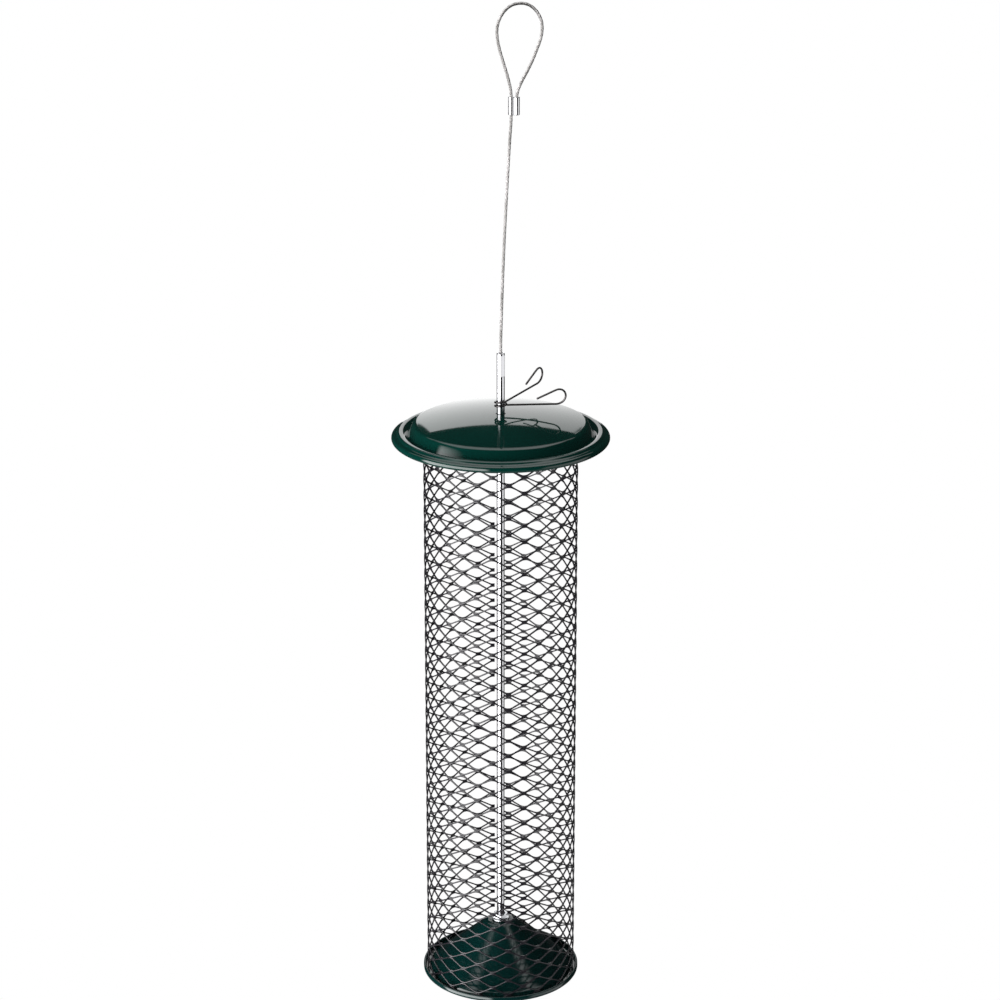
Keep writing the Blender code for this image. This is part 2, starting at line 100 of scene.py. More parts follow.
class Bench:
    """Modelling moves that the pieces share. Everything is in metres and in the frame."""

    @staticmethod
    def clear() -> None:
        """Goes to object mode with nothing selected."""
        if bpy.context.mode != "OBJECT":
            bpy.ops.object.mode_set(mode="OBJECT")
        bpy.ops.object.select_all(action="DESELECT")

    @staticmethod
    def take(obj: bpy.types.Object) -> bpy.types.Object:
        """Makes an object the active and only selected one."""
        Bench.clear()
        obj.select_set(True)
        bpy.context.view_layer.objects.active = obj
        return obj

    @staticmethod
    def start(name: str) -> bpy.types.Object:
        """Names the primitive just added and puts its place and size into its mesh."""
        obj = Bench.take(bpy.context.active_object)
        obj.name = obj.data.name = name
        bpy.ops.object.transform_apply(location=True, rotation=True, scale=True)
        return obj

    @staticmethod
    def pick(obj: bpy.types.Object, test: Callable[[Vector], bool]) -> None:
        """Selects the vertices that pass a test, in edit mode.

        Args:
            obj: The mesh object to work on.
            test: Says for a vertex's place whether to select it.
        """
        bpy.ops.object.mode_set(mode="EDIT")
        bpy.ops.mesh.select_mode(type="VERT")
        bpy.ops.mesh.select_all(action="DESELECT")
        bpy.ops.object.mode_set(mode="OBJECT")
        for vertex in obj.data.vertices:
            vertex.select = test(vertex.co)
        bpy.ops.object.mode_set(mode="EDIT")

    @staticmethod
    def clean(merge: float = 0.001 * MM) -> None:
        """Merges doubles and turns all faces outwards, in edit mode."""
        bpy.ops.mesh.select_all(action="SELECT")
        bpy.ops.mesh.remove_doubles(threshold=merge)
        bpy.ops.mesh.normals_make_consistent(inside=False)
        bpy.ops.object.mode_set(mode="OBJECT")

    @staticmethod
    def lathe(name: str, outline: Outline, place: Place, steps: int) -> bpy.types.Object:
        """Spins an outline once round the rod's axis.

        Args:
            name: The new object's name.
            outline: (radius, height above the rim plane) points, the last joined to nothing.
            place: Where the feeder stands.
            steps: How many steps make the full turn.

        Returns:
            The turned object.
        """
        Bench.clear()
        radius, height = outline[0]
        bpy.ops.mesh.primitive_plane_add(size=MM, location=place.at(radius, 0, height))
        obj = Bench.start(name)
        bpy.ops.object.mode_set(mode="EDIT")
        bpy.ops.mesh.select_mode(type="VERT")
        bpy.ops.mesh.select_all(action="SELECT")
        bpy.ops.mesh.merge(type="CENTER")
        for (r0, z0), (r1, z1) in zip(outline, outline[1:]):
            bpy.ops.mesh.extrude_vertices_move(TRANSFORM_OT_translate={"value": (r1 - r0, 0, z1 - z0)})
        bpy.ops.mesh.select_all(action="SELECT")
        bpy.ops.mesh.spin(steps=steps, angle=TURN, center=(place.axis, 0, 0), axis=(0, 0, 1))
        Bench.clean()
        return obj

    @staticmethod
    def sheet(obj: bpy.types.Object, thickness: float) -> bpy.types.Object:
        """Gives an open turned face its sheet thickness, below and inside the face.

        Args:
            obj: The open surface.
            thickness: The sheet's thickness.

        Returns:
            The same object, closed.
        """
        Bench.take(obj)
        top = max(obj.data.polygons, key=lambda face: face.center.z)
        if top.normal.z < 0:
            bpy.ops.object.mode_set(mode="EDIT")
            bpy.ops.mesh.select_all(action="SELECT")
            bpy.ops.mesh.flip_normals()
            bpy.ops.object.mode_set(mode="OBJECT")
        wall = obj.modifiers.new("sheet_thickness", "SOLIDIFY")
        wall.thickness = thickness
        wall.offset = -1
        wall.use_even_offset = True
        bpy.ops.object.modifier_apply(modifier=wall.name)
        return obj

    @staticmethod
    def wire(name: str, points: Sequence[Vector], radius: float, sides: int, rounded: float = 0.0) -> bpy.types.Object:
        """Sweeps a round wire along points and makes it a mesh.

        Args:
            name: The new object's name.
            points: The centre line, in the frame.
            radius: The wire's radius.
            sides: How many quarters of a ring each quarter turn has, less one.
            rounded: How far the ends are rounded, as a share of the radius.

        Returns:
            The wire's mesh object.
        """
        curve = bpy.data.curves.new(name, "CURVE")
        curve.dimensions = "3D"
        curve.bevel_depth = radius
        curve.bevel_resolution = sides
        curve.use_fill_caps = True
        line = list(points)
        widths = [1.0] * len(line)
        if rounded:
            for end, beside in ((0, 1), (-1, -2)):
                inward = (line[beside] - line[end]).normalized() * radius * rounded
                tip = line[end].copy()
                extra = [(tip, 0.55), (tip + inward * 0.4, 0.86), (tip + inward, 1.0)]
                if end == 0:
                    line[:1], widths[:1] = [p for p, _ in extra], [w for _, w in extra]
                else:
                    line[-1:], widths[-1:] = [p for p, _ in extra[::-1]], [w for _, w in extra[::-1]]
        spline = curve.splines.new("POLY")
        spline.points.add(len(line) - 1)
        for knot, point, width in zip(spline.points, line, widths):
            knot.co = (*point, 1.0)
            knot.radius = width
        obj = bpy.data.objects.new(name, curve)
        bpy.context.scene.collection.objects.link(obj)
        Bench.take(obj)
        bpy.ops.object.convert(target="MESH")
        bpy.ops.object.mode_set(mode="EDIT")
        Bench.clean()
        return bpy.context.active_object

    @staticmethod
    def cut(obj: bpy.types.Object, tool: bpy.types.Object) -> None:
        """Cuts a tool's shape out of an object and removes the tool."""
        Bench.take(obj)
        cutter = obj.modifiers.new("cut", "BOOLEAN")
        cutter.operation = "DIFFERENCE"
        cutter.solver = "EXACT"
        cutter.object = tool
        bpy.ops.object.modifier_apply(modifier=cutter.name)
        bpy.data.objects.remove(tool)

    @staticmethod
    def ease(obj: bpy.types.Object, width: float, segments: int, angle: float = 35) -> None:
        """Rounds the edges of an object that are sharper than an angle.

        Args:
            obj: The object.
            width: How wide the rounding is.
            segments: How many faces it has.
            angle: The least angle in degrees that is rounded.
        """
        Bench.take(obj)
        rounding = obj.modifiers.new("eased_edges", "BEVEL")
        rounding.width = width
        rounding.segments = segments
        rounding.limit_method = "ANGLE"
        rounding.angle_limit = math.radians(angle)
        bpy.ops.object.modifier_apply(modifier=rounding.name)

    @staticmethod
    def dress(
        obj: bpy.types.Object,
        material: bpy.types.Material,
        slot: str,
        nodes: Sequence[str],
        body: Body | None,
        angle: float = 35,
    ) -> bpy.types.Object:
        """Shades a finished piece, gives it its finish and fixes it to the frame.

        Args:
            obj: The finished piece.
            material: Its finish.
            slot: The record's material slot that the finish stands for. It is not used.
            nodes: The CAD nodes that the piece stands for.
            body: The body it moves with, or None for a piece that bends between two.
            angle: Edges sharper than this many degrees stay sharp.

        Returns:
            The same piece.
        """
        Bench.take(obj)
        bpy.ops.object.shade_smooth_by_angle(angle=math.radians(angle))
        obj.data.materials.clear()
        obj.data.materials.append(material)
        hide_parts(*nodes)
        if body:
            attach(obj, body.value)
        log.info("%s: %d faces, stands for %s", obj.name, len(obj.data.polygons), ", ".join(nodes))
        return obj


def arc(centre: tuple[float, float], radius: float, start: float, end: float, steps: int) -> list[tuple[float, float]]:
    """Points on a circle.

    Args:
        centre: The circle's middle, as radius and height.
        radius: Its radius.
        start: The first angle in degrees.
        end: The last angle in degrees.
        steps: How many steps lie between them.

    Returns:
        The points, both ends included.
    """
    turns = [math.radians(start + (end - start) * i / steps) for i in range(steps + 1)]
    return [(centre[0] + radius * math.cos(t), centre[1] + radius * math.sin(t)) for t in turns]


def smooth_line(route: Sequence[Vector], step: float) -> list[Vector]:
    """Evenly spaced points on a smooth curve through a route.

    Args:
        route: The points that the curve passes through.
        step: About how far apart the new points are.

    Returns:
        The new points, both ends included.
    """
    padded = [2 * route[0] - route[1], *route, 2 * route[-1] - route[-2]]
    fine = []
    for a, b, c, d in zip(padded, padded[1:], padded[2:], padded[3:]):
        for i in range(24):
            t = i / 24
            fine.append(
                0.5 * (2 * b + (c - a) * t + (2 * a - 5 * b + 4 * c - d) * t**2 + (3 * b - a - 3 * c + d) * t**3)
            )
    fine.append(route[-1])
    lengths = [0.0]
    for a, b in zip(fine, fine[1:]):
        lengths.append(lengths[-1] + (b - a).length)
    count = round(lengths[-1] / step)
    points, index = [], 0
    for i in range(count + 1):
        wanted = lengths[-1] * i / count
        while index < len(fine) - 2 and lengths[index + 1] < wanted:
            index += 1
        share = (wanted - lengths[index]) / (lengths[index + 1] - lengths[index])
        points.append(fine[index].lerp(fine[index + 1], min(share, 1.0)))
    return points


def line_length(points: Sequence[Vector]) -> float:
    """The length of a line of points."""
    return sum((b - a).length for a, b in zip(points, points[1:]))


class EffectGroups:
    """Shader node groups that several finishes use, each built once."""

    def __init__(self) -> None:
        """Builds every group."""
        self.grain = self._build_grain()
        self.wear_and_highlight_mask = self._build_wear_and_highlight_mask()
        self.drawn = self._build_drawn()

    @staticmethod
    def _new(name: str, inputs: Sequence[tuple[str, float]], outputs: Sequence[str]) -> bpy.types.NodeTree:
        """An empty group with number inputs and outputs.

        Args:
            name: The group's name.
            inputs: Each input's name and usual value.
            outputs: Each output's name.

        Returns:
            The group, with its input and output nodes.
        """
        tree = bpy.data.node_groups.new(name, "ShaderNodeTree")
        for title, value in inputs:
            socket = tree.interface.new_socket(title, in_out="INPUT", socket_type="NodeSocketFloat")
            socket.default_value = value
        for title in outputs:
            tree.interface.new_socket(title, in_out="OUTPUT", socket_type="NodeSocketFloat")
        tree.nodes.new("NodeGroupInput")
        tree.nodes.new("NodeGroupOutput")
        return tree

    def _build_grain(self) -> bpy.types.NodeTree:
        """Fine even unevenness of a sprayed or stoved coat: Height for a bump and Cloud for a slow change."""
        tree = self._new("coat_grain", [("Grain Scale", 900.0), ("Cloud Scale", 60.0)], ["Height", "Cloud"])
        given, out = tree.nodes["Group Input"], tree.nodes["Group Output"]
        where = tree.nodes.new("ShaderNodeTexCoord")
        for socket, source, detail in (("Height", "Grain Scale", 2.0), ("Cloud", "Cloud Scale", 4.0)):
            noise = tree.nodes.new("ShaderNodeTexNoise")
            noise.inputs["Detail"].default_value = detail
            tree.links.new(where.outputs["Object"], noise.inputs["Vector"])
            tree.links.new(given.outputs[source], noise.inputs["Scale"])
            tree.links.new(noise.outputs["Fac"], out.inputs[socket])
        return tree

    def _build_wear_and_highlight_mask(self) -> bpy.types.NodeTree:
        """Standing edges: a mask that is 1 where an edge stands out; on the tray and mesh it marks where the coat has
        thinned, and on the lid it lays painted highlight.
        """
        tree = self._new("edge_wear_and_highlight", [("Start", 0.53), ("End", 0.62), ("Patch Scale", 220.0)], ["Mask"])
        given, out = tree.nodes["Group Input"], tree.nodes["Group Output"]
        geometry = tree.nodes.new("ShaderNodeNewGeometry")
        where = tree.nodes.new("ShaderNodeTexCoord")
        noise = tree.nodes.new("ShaderNodeTexNoise")
        noise.inputs["Detail"].default_value = 5.0
        edge = tree.nodes.new("ShaderNodeMapRange")
        patch = tree.nodes.new("ShaderNodeMapRange")
        patch.inputs["From Min"].default_value = 0.42
        patch.inputs["From Max"].default_value = 0.62
        both = tree.nodes.new("ShaderNodeMath")
        both.operation = "MULTIPLY"
        tree.links.new(geometry.outputs["Pointiness"], edge.inputs["Value"])
        tree.links.new(given.outputs["Start"], edge.inputs["From Min"])
        tree.links.new(given.outputs["End"], edge.inputs["From Max"])
        tree.links.new(where.outputs["Object"], noise.inputs["Vector"])
        tree.links.new(given.outputs["Patch Scale"], noise.inputs["Scale"])
        tree.links.new(noise.outputs["Fac"], patch.inputs["Value"])
        tree.links.new(edge.outputs["Result"], both.inputs[0])
        tree.links.new(patch.outputs["Result"], both.inputs[1])
        tree.links.new(both.outputs["Value"], out.inputs["Mask"])
        return tree

    def _build_drawn(self) -> bpy.types.NodeTree:
        """Drawing lines along an upright bar: Lines for a bump and Streak for its shine."""
        tree = self._new("drawn_lines", [("Scale", 2500.0), ("Stretch", 0.02)], ["Lines", "Streak"])
        given, out = tree.nodes["Group Input"], tree.nodes["Group Output"]
        where = tree.nodes.new("ShaderNodeTexCoord")
        shape = tree.nodes.new("ShaderNodeCombineXYZ")
        shape.inputs["X"].default_value = 1.0
        shape.inputs["Y"].default_value = 1.0
        mapping = tree.nodes.new("ShaderNodeMapping")
        tree.links.new(given.outputs["Stretch"], shape.inputs["Z"])
        tree.links.new(shape.outputs["Vector"], mapping.inputs["Scale"])
        tree.links.new(where.outputs["Object"], mapping.inputs["Vector"])
        for socket, detail, share in (("Lines", 3.0, 1.0), ("Streak", 2.0, 0.12)):
            noise = tree.nodes.new("ShaderNodeTexNoise")
            noise.inputs["Detail"].default_value = detail
            scale = tree.nodes.new("ShaderNodeMath")
            scale.operation = "MULTIPLY"
            scale.inputs[1].default_value = share
            tree.links.new(given.outputs["Scale"], scale.inputs[0])
            tree.links.new(scale.outputs["Value"], noise.inputs["Scale"])
            tree.links.new(mapping.outputs["Vector"], noise.inputs["Vector"])
            tree.links.new(noise.outputs["Fac"], out.inputs[socket])
        return tree


Colour = tuple[float, float, float]


class Coat:
    """A material under construction: its Principled shader and the nodes that feed it."""

    def __init__(self, name: str, sockets: dict[str, float | tuple[float, ...]]) -> None:
        """Starts a material.

        Args:
            name: The material's name.
            sockets: Values set on the shader's own sockets.
        """
        self.material = bpy.data.materials.new(name)
        self.material.use_nodes = True
        self.tree = self.material.node_tree
        self.shader = self.tree.nodes["Principled BSDF"]
        for socket, value in sockets.items():
            self.shader.inputs[socket].default_value = value

    def group(self, tree: bpy.types.NodeTree, **values: float) -> bpy.types.Node:
        """Places an effect group with its own values, where a name's _ stands for a space."""
        node = self.tree.nodes.new("ShaderNodeGroup")
        node.node_tree = tree
        for title, value in values.items():
            node.inputs[title.replace("_", " ")].default_value = value
        return node

    def blend(self, mask: bpy.types.NodeSocket, low: Colour, high: Colour) -> bpy.types.NodeSocket:
        """Mixes two colours.

        Args:
            mask: Where the second colour shows.
            low: The colour at 0.
            high: The colour at 1.

        Returns:
            The mixed colour.
        """
        mix = self.tree.nodes.new("ShaderNodeMix")
        mix.data_type = "RGBA"
        mix.inputs["A"].default_value = (*low, 1.0)
        mix.inputs["B"].default_value = (*high, 1.0)
        self.tree.links.new(mask, mix.inputs["Factor"])
        return mix.outputs["Result"]

    def over(self, mask: bpy.types.NodeSocket, below: bpy.types.NodeSocket, above: Colour) -> bpy.types.NodeSocket:
        """Lays a colour over another.

        Args:
            mask: Where the upper colour shows.
            below: The colour under it.
            above: The upper colour.

        Returns:
            The mixed colour.
        """
        mix = self.tree.nodes.new("ShaderNodeMix")
        mix.data_type = "RGBA"
        mix.inputs["B"].default_value = (*above, 1.0)
        self.tree.links.new(mask, mix.inputs["Factor"])
        self.tree.links.new(below, mix.inputs["A"])
        return mix.outputs["Result"]

    def ranged(self, value: bpy.types.NodeSocket, low: float, high: float) -> bpy.types.NodeSocket:
        """Maps a noise value's usual span to a new range.

        Args:
            value: The value to map, from about 0.3 to 0.7.
            low: The result at 0.3.
            high: The result at 0.7.

        Returns:
            The mapped value.
        """
        node = self.tree.nodes.new("ShaderNodeMapRange")
        node.inputs["From Min"].default_value = 0.3
        node.inputs["From Max"].default_value = 0.7
        node.inputs["To Min"].default_value = low
        node.inputs["To Max"].default_value = high
        self.tree.links.new(value, node.inputs["Value"])
        return node.outputs["Result"]

    def feed(self, socket: str, value: bpy.types.NodeSocket) -> None:
        """Links a value to one of the shader's sockets."""
        self.tree.links.new(value, self.shader.inputs[socket])

    def bump(self, height: bpy.types.NodeSocket, depth: float, strength: float) -> None:
        """Raises the surface.

        Args:
            height: The height, from 0 to 1.
            depth: How far 1 stands above 0, in metres.
            strength: How much of it is used.
        """
        node = self.tree.nodes.new("ShaderNodeBump")
        node.inputs["Strength"].default_value = strength
        node.inputs["Distance"].default_value = depth
        self.tree.links.new(height, node.inputs["Height"])
        self.tree.links.new(node.outputs["Normal"], self.shader.inputs["Normal"])


@dataclass(frozen=True)
class Enamel:
    """Glossy stoved enamel on pressed sheet, lighter on its standing edges; on the lid that lighter edge is painted
    highlight.

    Attributes:
        name: The material's name.
        colour: The enamel's colour.
        deep: Its darker places.
        wear_and_highlight_colour: The colour laid on standing edges: worn enamel on the tray, painted highlight (the
            lit teal) on the lid.
        roughness: The gloss of the enamel.
    """

    name: str
    colour: Colour
    deep: Colour
    wear_and_highlight_colour: Colour
    roughness: float

    def mix(self, effects: EffectGroups) -> bpy.types.Material:
        """Builds the material from the shared effects."""
        coat = Coat(self.name, {"Metallic": 0.0, "IOR": 1.52})
        grain = coat.group(effects.grain, Grain_Scale=420.0, Cloud_Scale=35.0)
        wear_and_highlight_mask = coat.group(effects.wear_and_highlight_mask, Start=0.56, End=0.7, Patch_Scale=180.0)
        base = coat.blend(coat.ranged(grain.outputs["Cloud"], 0.0, 1.0), self.deep, self.colour)
        # Lays the edge colour on standing edges: on the lid it is painted highlight along the crease, bead and roll;
        # on the tray it lightens worn edges.
        coat.feed("Base Color", coat.over(wear_and_highlight_mask.outputs["Mask"], base, self.wear_and_highlight_colour))
        coat.feed("Roughness", coat.ranged(grain.outputs["Cloud"], self.roughness * 0.8, self.roughness * 1.3))
        coat.bump(grain.outputs["Height"], 0.004 * MM, 0.35)
        return coat.material


@dataclass(frozen=True)
class MeshCoat:
    """Semi-gloss black coat on the expanded metal, with a slight purple cast.

    Attributes:
        name: The material's name.
        colour: The coat's colour.
        wear_and_highlight_colour: The colour of worn edges.
    """

    name: str
    colour: Colour
    wear_and_highlight_colour: Colour

    def mix(self, effects: EffectGroups) -> bpy.types.Material:
        """Builds the material from the shared effects."""
        coat = Coat(self.name, {"Metallic": 0.0, "IOR": 1.5})
        grain = coat.group(effects.grain, Grain_Scale=1800.0, Cloud_Scale=90.0)
        wear_and_highlight_mask = coat.group(effects.wear_and_highlight_mask, Start=0.6, End=0.8, Patch_Scale=400.0)
        base = coat.blend(coat.ranged(grain.outputs["Cloud"], 0.0, 1.0), self.colour, tuple(1.5 * c for c in self.colour))
        coat.feed("Base Color", coat.over(wear_and_highlight_mask.outputs["Mask"], base, self.wear_and_highlight_colour))
        coat.feed("Roughness", coat.ranged(grain.outputs["Cloud"], 0.14, 0.28))
        coat.bump(grain.outputs["Height"], 0.01 * MM, 0.3)
        return coat.material


@dataclass(frozen=True)
class Steel:
    """Bare or plated steel with drawing lines or a slight mottle.

    Attributes:
        name: The material's name.
        bright: Its colour where it is bright.
        dull: Its colour where it is duller.
        smooth: The least roughness.
        rough: The greatest roughness.
        stretch: How far the marks run along the piece; 1 is a plain mottle.
        scale: How fine the marks are, per metre.
    """

    name: str
    bright: Colour
    dull: Colour
    smooth: float
    rough: float
    stretch: float
    scale: float

    def mix(self, effects: EffectGroups) -> bpy.types.Material:
        """Builds the material from the shared effects."""
        coat = Coat(self.name, {"Metallic": 1.0})
        lines = coat.group(effects.drawn, Scale=self.scale, Stretch=self.stretch)
        coat.feed("Base Color", coat.blend(coat.ranged(lines.outputs["Streak"], 0.0, 1.0), self.dull, self.bright))
        coat.feed("Roughness", coat.ranged(lines.outputs["Streak"], self.rough, self.smooth))
        coat.bump(lines.outputs["Lines"], 0.004 * MM, 0.12)
        return coat.material


class Finishes:
    """Every finish of the feeder, mixed once."""

    def __init__(self, effects: EffectGroups) -> None:
        """Mixes the finishes from the shared effects."""
        # The lid's third colour is its lit teal, laid by the edge mask as painted highlight along its crease, bead and
        # roll.
        self.lid = Enamel(
            "lid_green_enamel", (0.0010, 0.0235, 0.0180), (0.0006, 0.0180, 0.0140), (0.02, 0.08, 0.065), 0.05
        ).mix(effects)
        self.tray = Enamel(
            "tray_green_enamel", (0.0009, 0.0165, 0.0152), (0.0007, 0.0125, 0.0118), (0.02, 0.05, 0.055), 0.09
        ).mix(effects)
        self.mesh = MeshCoat("mesh_black_coat", (0.0070, 0.0062, 0.0085), (0.05, 0.05, 0.055)).mix(effects)
        self.rod = Steel("rod_drawn_steel", (0.72, 0.72, 0.74), (0.58, 0.58, 0.60), 0.09, 0.2, 0.02, 2600.0).mix(effects)
        self.rope = Steel("rope_steel", (0.30, 0.29, 0.29), (0.17, 0.165, 0.16), 0.22, 0.36, 1.0, 900.0).mix(effects)
        self.ferrule = Steel("ferrule_steel", (0.60, 0.60, 0.61), (0.40, 0.40, 0.41), 0.12, 0.24, 0.05, 1500.0).mix(effects)
        self.clip = Steel("clip_spring_steel", (0.085, 0.08, 0.08), (0.045, 0.042, 0.041), 0.2, 0.36, 1.0, 1400.0).mix(effects)
        self.fastener = Steel("fastener_zinc", (0.66, 0.67, 0.69), (0.50, 0.51, 0.53), 0.16, 0.34, 1.0, 700.0).mix(effects)


@dataclass
class WireRope:
    """The twisted wire rope: up from the rod, through the ferrule, round the loop and back.

    Attributes:
        place: Where the feeder stands.
        radius: The rope's radius.
        strands: How many strands lie round its core.
        lay: The length of one full twist.
        groove: How deep the grooves between strands are, as a share of the radius.
        ferrule_bottom: The ferrule's lower end above the rod's top.
        ferrule_height: The ferrule's height.
        barrel: The radius of each of the ferrule's barrels.
        left: The place of the left leg outward from the rod.
        right: The place of the right leg.
    """

    place: Place
    radius: float = 0.75 * MM
    strands: int = 6
    lay: float = 16.5 * MM
    groove: float = 0.36
    ferrule_bottom: float = 118.8 * MM
    ferrule_height: float = 8.9 * MM
    barrel: float = 1.5 * MM
    left: float = 5.05 * MM
    right: float = 7.65 * MM

    ROUTE = (
        (0.0, -1.5), (0.0, 5.0), (0.3, 17.0), (0.75, 32.0), (1.3, 47.0), (1.95, 62.0), (2.7, 77.0),
        (3.5, 92.0), (4.3, 106.0), (4.85, 114.0), (5.05, 119.5), (5.05, 123.2), (5.05, 127.2), (4.6, 131.6),
        (3.3, 137.2), (1.5, 143.2), (-0.4, 149.6), (-1.65, 155.6), (-1.75, 160.6), (-0.5, 165.0),
        (1.9, 168.8), (5.2, 171.4), (9.05, 172.35), (12.6, 171.9), (15.6, 170.1), (17.9, 167.3),
        (19.4, 163.7), (19.7, 159.7), (18.95, 155.3), (17.4, 150.9), (15.3, 145.5), (12.7, 140.0),
        (10.2, 135.3), (8.3, 130.9), (7.65, 127.0), (7.65, 123.2), (7.65, 119.5),
    )  # fmt: skip

    def centre_line(self) -> list[Vector]:
        """The rope's centre line, in the frame."""
        route = [self.place.at(x * MM, 0, ROD_TOP_ABOVE_RIM + z * MM) for x, z in self.ROUTE]
        return smooth_line(route, self.lay / 26)

    def section(self) -> bpy.types.Object:
        """The rope's cross-section: a closed curve with a lobe for each strand."""
        curve = bpy.data.curves.new("rope_section", "CURVE")
        curve.dimensions = "2D"
        count = 6 * self.strands
        spline = curve.splines.new("POLY")
        spline.points.add(count - 1)
        for i, knot in enumerate(spline.points):
            turn = TURN * i / count
            lobe = abs(math.sin(turn * self.strands / 2))
            reach = self.radius * (1 - self.groove * (1 - lobe**0.7))
            knot.co = (reach * math.cos(turn), reach * math.sin(turn), 0, 1)
        spline.use_cyclic_u = True
        obj = bpy.data.objects.new("rope_section", curve)
        bpy.context.scene.collection.objects.link(obj)
        return obj

    def build_rope(self, finishes: Finishes) -> tuple[bpy.types.Object, list[Vector]]:
        """Sweeps the lobed section along the centre line while it twists.

        Args:
            finishes: The feeder's finishes.

        Returns:
            The rope and its centre line.
        """
        line = self.centre_line()
        section = self.section()
        curve = bpy.data.curves.new("wire_rope", "CURVE")
        curve.dimensions = "3D"
        curve.bevel_mode = "OBJECT"
        curve.bevel_object = section
        curve.use_fill_caps = True
        spline = curve.splines.new("POLY")
        spline.points.add(len(line) - 1)
        run = 0.0
        for i, (knot, point) in enumerate(zip(spline.points, line)):
            run += (point - line[i - 1]).length if i else 0.0
            knot.co = (*point, 1.0)
            knot.tilt = TURN * run / self.lay
        rope = bpy.data.objects.new("wire_rope", curve)
        bpy.context.scene.collection.objects.link(rope)
        Bench.take(rope)
        bpy.ops.object.convert(target="MESH")
        rope = bpy.context.active_object
        bpy.data.objects.remove(section)
        bpy.ops.object.mode_set(mode="EDIT")
        Bench.clean()
        return Bench.dress(rope, finishes.rope, "rope_steel", ["hanger_rope"], Body.FRAME, 80), line

    def build_ferrule(self, finishes: Finishes) -> bpy.types.Object:
        """The pressed ferrule: two barrels side by side with rounded ends and a pressed waist."""
        bottom = ROD_TOP_ABOVE_RIM + self.ferrule_bottom
        middle = bottom + self.ferrule_height / 2
        barrels = []
        for name, across in (("pressed_ferrule", self.left), ("second_barrel", self.right)):
            Bench.clear()
            bpy.ops.mesh.primitive_cylinder_add(
                vertices=48, radius=self.barrel, depth=self.ferrule_height, location=self.place.at(across, 0, middle)
            )
            barrels.append(Bench.start(name))
            Bench.ease(barrels[-1], 0.42 * MM, 4, 50)
        ferrule = Bench.take(barrels[0])
        union = ferrule.modifiers.new("joined_barrels", "BOOLEAN")
        union.operation = "UNION"
        union.solver = "EXACT"
        union.object = barrels[1]
        bpy.ops.object.modifier_apply(modifier=union.name)
        bpy.data.objects.remove(barrels[1])
        return Bench.dress(ferrule, finishes.ferrule, "ferrule_steel", ["loop_ferrule"], Body.FRAME, 50)

    def build(self, finishes: Finishes) -> None:
        rope, line = self.build_rope(finishes)
        ferrule = self.build_ferrule(finishes)
        log.info("wire rope: %.1f mm long", line_length(line) / MM)


@dataclass
class CentreRod:
    """The steel rod, pressed flat on two sides where it grips the rope, and threaded at its foot.

    Attributes:
        place: Where the feeder stands.
        radius: The rod's radius.
        bottom: The rod's lower end below the rim plane.
        mouth: The radius of the hole that the rope goes into.
        thread_top: Where the thread ends.
        pitch: The thread's pitch.
        crimp_length: The crimp's length.
        crimp_depth: How deep each flat of the crimp is.
        crimp_turn: How far the flats are turned from facing forward, towards the right.
    """

    place: Place
    radius: float = 2.0 * MM
    bottom: float = -273.3 * MM
    mouth: float = 0.95 * MM
    thread_top: float = -258.0 * MM
    pitch: float = 0.7 * MM
    crimp_length: float = 11.0 * MM
    crimp_depth: float = 0.35 * MM
    crimp_turn: float = math.radians(35)

    def outline(self) -> list[tuple[float, float]]:
        """The rod's outline, from the middle of its foot up to the bottom of the mouth."""
        top = ROD_TOP_ABOVE_RIM
        points = [(0.0, self.bottom), (self.radius - 0.55 * MM, self.bottom)]
        height = self.bottom + 0.5 * MM
        while height < self.thread_top:
            points += [(self.radius - 0.02 * MM, height), (self.radius - 0.36 * MM, height + self.pitch / 2)]
            height += self.pitch
        points += [(self.radius, self.thread_top + 0.3 * MM)]
        points += [(self.radius, self.thread_top + (top - self.thread_top) * i / 12) for i in range(1, 12)]
        points += [(self.radius, top - 13 * MM), (self.radius, top - 0.6 * MM)]
        points += arc((self.radius - 0.45 * MM, top - 0.45 * MM), 0.45 * MM, 0, 90, 5)
        points += [(self.mouth + 0.25 * MM, top), (self.mouth, top - 0.25 * MM), (self.mouth, top - 3 * MM), (0.0, top - 3 * MM)]
        return points

    def build(self, finishes: Finishes) -> None:
        """Turns the rod and presses its crimp."""
        rod = Bench.lathe("rod", sorted_outline(self.outline()), self.place, 40)
        height = ROD_TOP_ABOVE_RIM - 1.0 * MM - self.crimp_length / 2
        for side in (-1, 1):
            Bench.clear()
            depth = 2 * self.radius
            middle = side * (self.radius - self.crimp_depth + depth / 2)
            sideways, ahead = -middle * math.sin(self.crimp_turn), middle * math.cos(self.crimp_turn)
            bpy.ops.mesh.primitive_cube_add(
                size=1, location=self.place.at(sideways, ahead, height), rotation=(0, 0, self.crimp_turn)
            )
            tool = bpy.context.active_object
            tool.scale = (2.6 * self.radius, depth, self.crimp_length)
            tool = Bench.start("crimp_tool")
            Bench.ease(tool, 0.3 * MM, 3)
            Bench.cut(rod, tool)
        Bench.dress(rod, finishes.rod, "rod_steel", ["center_rod"], Body.FRAME, 25)


def sorted_outline(points: Outline) -> list[tuple[float, float]]:
    """Drops points that repeat the one before them."""
    kept = [points[0]]
    for point in points[1:]:
        if math.dist(point, kept[-1]) > 0.005 * MM:
            kept.append(point)
    return kept


